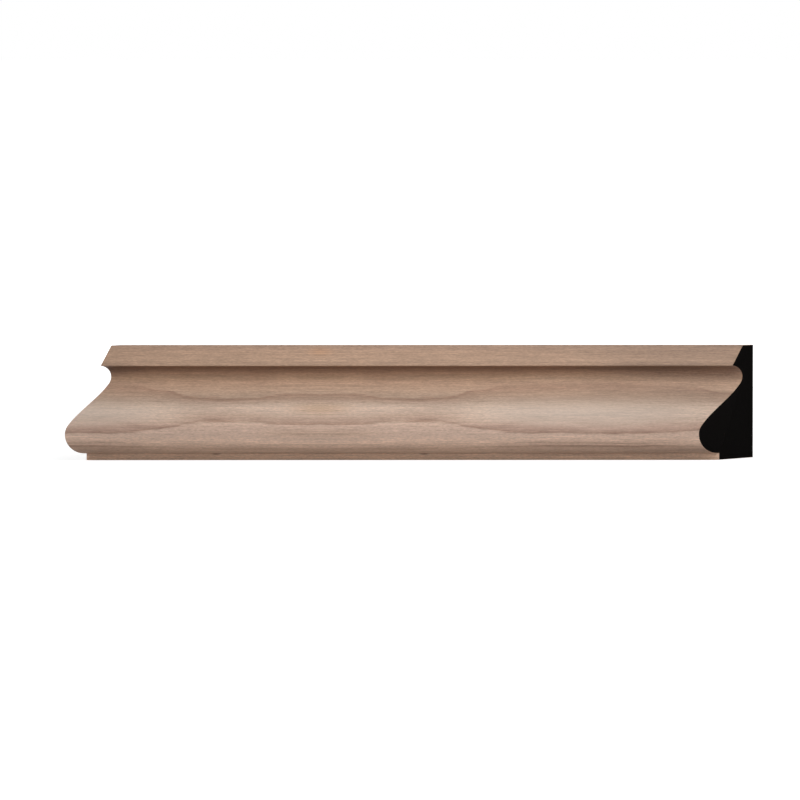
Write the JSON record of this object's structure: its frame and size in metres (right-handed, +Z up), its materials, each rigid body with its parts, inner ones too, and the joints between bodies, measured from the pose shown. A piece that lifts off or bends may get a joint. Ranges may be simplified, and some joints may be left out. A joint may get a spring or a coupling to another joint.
{
  "type": "base cap moulding",
  "caption": "Length of milled wood base cap moulding: canted lip over a cove, S-curved slope, rounded nose and set-back base, with parallel mitred ends.",
  "frame": {"origin": "middle of the back face's bottom edge, where the wall meets the top of the baseboard", "axes": "+X along the moulding's length, +Y into the wall (outward normal of the back face), +Z up"},
  "size_m": [0.2125, 0.0175, 0.0349],
  "materials": {
    "walnut": "sanded, unfinished light walnut; cut ends sealed matt black"
  },
  "bodies": {
    "root": {"base_cap_moulding": "walnut"}
  },
  "joints": []
}
